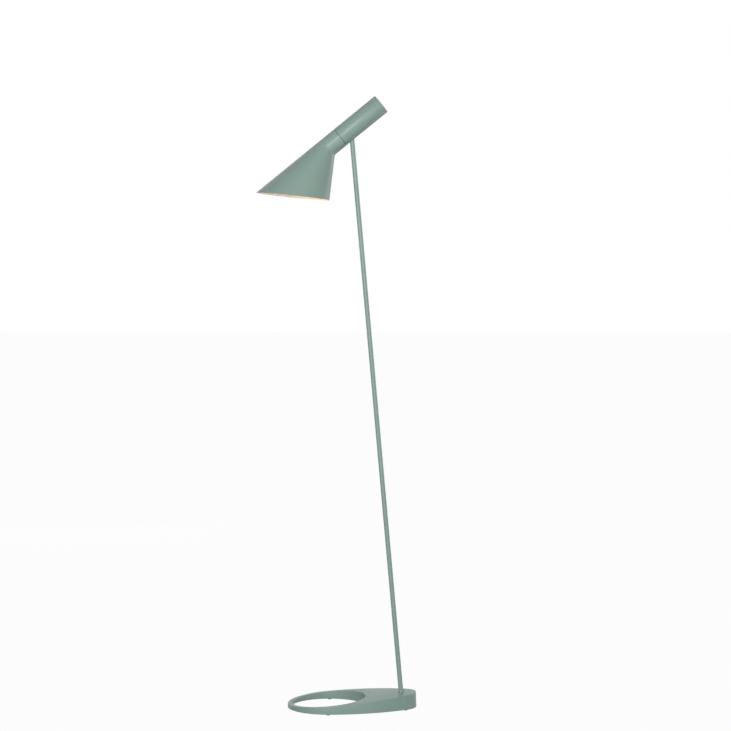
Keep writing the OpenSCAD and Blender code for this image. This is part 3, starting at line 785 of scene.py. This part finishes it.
def on_points(tree, one, places):
    """A copy of one shape on each place."""
    join = tree.nodes.new("GeometryNodeJoinGeometry")
    for place in places:
        line = tree.nodes.new("GeometryNodePoints")
        line.inputs["Count"].default_value = 1
        line.inputs["Position"].default_value = place
        tree.links.new(line.outputs[0], join.inputs[0])
    copies = tree.nodes.new("GeometryNodeInstanceOnPoints")
    tree.links.new(join.outputs[0], copies.inputs["Points"])
    tree.links.new(one, copies.inputs["Instance"])
    return copies.outputs[0]


SCREW_ROWS = 44
screw_low, screw_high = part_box("cover_screws")
screw_sizes = {
    "Head radius": 0.0034, "Head height": 0.001, "Shank radius": 0.00198,
    "Length": screw_high.z - screw_low.z, "Pitch": 0.0009, "Thread depth": 0.00028,
}
tree, one = threaded_screw("plate_screws", screw_sizes)
closed_tree(tree, on_points(tree, one, screw_places), steel)
mesh = grown(tree, screw_sizes, Matrix.Identity(4))
shade_smooth(mesh, 40)
finished(mesh, "plate_screws", "stand", "steel", "cover_screws")
print("plate screws:", len(mesh.polygons), "faces")

# %% [markdown]
# ## The bulb's screw cap
#
# The cap of a bulb is a thin brass sleeve with a rounded thread pressed into it. Its radius rises
# and falls as a sine along the axis, and the phase turns once around, which is all that a thread
# is. The cap is a closed sleeve: the grid's rows run up the outside and back down the inside.

# %% The cap's tree
cap_sizes = {"Radius": 0.0069, "Wall": 0.0003, "Start": 0.0345, "Length": 0.0165, "Pitch": 0.0028, "Depth": 0.0004}
CAP_ROWS = 60
tree, (radius, wall, start, length, pitch, depth) = new_tree("bulb_screw_cap", cap_sizes)
flat, around, along = wrapped_grid(tree, 64, 2 * CAP_ROWS)
turn = around * (2 * math.pi)
up = 1.0 - (along * 2.0 - 1.0).math("ABSOLUTE")
inner = along.math("GREATER_THAN", 0.5 + 0.25 / CAP_ROWS)
wave = ((up * length / pitch - around) * (2 * math.pi)).math("SINE")
fade = (up * 8.0).clamped() * ((1.0 - up) * 8.0).clamped()
r = radius - depth + depth * wave * fade - wall * inner
one = moved_to(tree, flat, start + up * length, r * turn.math("COSINE"), r * turn.math("SINE"))
closed_tree(tree, one, brass)
BULB_SLOPE = math.radians(9.27)
GLOBE_FROM_POINT = 0.086
globe_place = Matrix.Translation((POINT_X - GLOBE_FROM_POINT * math.cos(CONE_HALF), 0,
                                  TUBE_R - GLOBE_FROM_POINT * math.sin(CONE_HALF)))
bulb_place = head_place @ globe_place @ Matrix.Rotation(-BULB_SLOPE, 4, "Y")
mesh = grown(tree, cap_sizes, bulb_place)
shade_smooth(mesh, 60)
finished(mesh, "bulb_screw_cap", "head", "brass", "bulb_cap")
print("bulb cap:", len(mesh.polygons), "faces")

# %% [markdown]
# ## The floor and the light
#
# The lamp stands on a plain white floor against white. The floor stays a surface that can hold a
# soft shadow, and to the camera it adds a little light of its own, so that it reads as white
# without more light falling on the lamp. A large soft source in front gives the long highlight on
# the tube and the cone, and the white surroundings fill in the rest.

# %% Floor and surroundings
def camera_sees(tree):
    path = tree.nodes.new("ShaderNodeLightPath")
    seen = Number(tree, path.outputs["Is Camera Ray"])
    seen = seen.math("MAXIMUM", Number(tree, path.outputs["Is Glossy Ray"]))
    return seen.math("MAXIMUM", Number(tree, path.outputs["Is Transmission Ray"]))


world = bpy.data.worlds.new("white_room")
bpy.context.scene.world = world
world.use_nodes = True
tree = world.node_tree
seen = camera_sees(tree)
background = tree.nodes["Background"]
background.inputs["Color"].default_value = (1, 1, 1, 1)
WORLD_LIGHT = 0.17
tree.links.new((seen * (1 - WORLD_LIGHT) + WORLD_LIGHT).socket, background.inputs["Strength"])

floor_mesh = bpy.data.meshes.new("floor")
FLOOR = 30.0
floor_mesh.from_pydata([(-FLOOR, -FLOOR, 0), (FLOOR, -FLOOR, 0), (FLOOR, FLOOR, 0), (-FLOOR, FLOOR, 0)], [],
                       [(0, 1, 2, 3)])
floor = bpy.data.objects.new("floor", floor_mesh)
bpy.context.scene.collection.objects.link(floor)
floor_white, tree, shader = new_material("floor_white", (0.22, 0.22, 0.22), 0.9)
shader.inputs["Specular IOR Level"].default_value = 0.0
glow = tree.nodes.new("ShaderNodeEmission")
glow.inputs["Color"].default_value = (1, 1, 1, 1)
mix = tree.nodes.new("ShaderNodeMixShader")
tree.links.new((camera_sees(tree) * 0.97).socket, mix.inputs[0])
tree.links.new(shader.outputs[0], mix.inputs[1])
tree.links.new(glow.outputs[0], mix.inputs[2])
tree.links.new(mix.outputs[0], tree.nodes["Material Output"].inputs["Surface"])
floor_mesh.materials.append(floor_white)


# %% Lamps
def soft_light(name, place, towards, width, height, power, colour=(1, 1, 1)):
    data = bpy.data.lights.new(name, "AREA")
    data.shape = "RECTANGLE"
    data.size, data.size_y = width, height
    data.energy = power
    data.color = colour
    lamp = bpy.data.objects.new(name, data)
    lamp.location = place
    lamp.rotation_euler = (Vector(towards) - Vector(place)).to_track_quat("-Z", "Y").to_euler()
    bpy.context.scene.collection.objects.link(lamp)
    return lamp


soft_light("front_softbox", (-0.6, -3.1, 1.3), (0, 0, 0.7), 0.6, 1.6, 74)
soft_light("strip_softbox", (1.1, -2.9, 1.1), (0, 0, 0.7), 0.16, 2.0, 20)
back = soft_light("back_softbox", (-1.0, 3.2, 0.9), (0, 0, 0.7), 1.2, 1.6, 22)
back.visible_glossy = False
soft_light("edge_softbox", (2.2, 1.2, 1.3), (0, 0, 0.9), 0.7, 2.0, 26)
bulb_low, bulb_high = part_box("bulb_globe")
bulb_light = bpy.data.lights.new("bulb_light", "POINT")
bulb_light.energy = 0.12
bulb_light.color = (1.0, 0.60, 0.38)
bulb_light.shadow_soft_size = 0.01
bulb_lamp = bpy.data.objects.new("bulb_light", bulb_light)
bulb_lamp.location = ((bulb_low.x + bulb_high.x) / 2 - 0.01, 0, bulb_low.z - 0.012)
bulb_lamp.parent = frame["bodies"]["head"]
bpy.context.scene.collection.objects.link(bulb_lamp)
scene = bpy.context.scene
scene.view_settings.view_transform = "Standard"
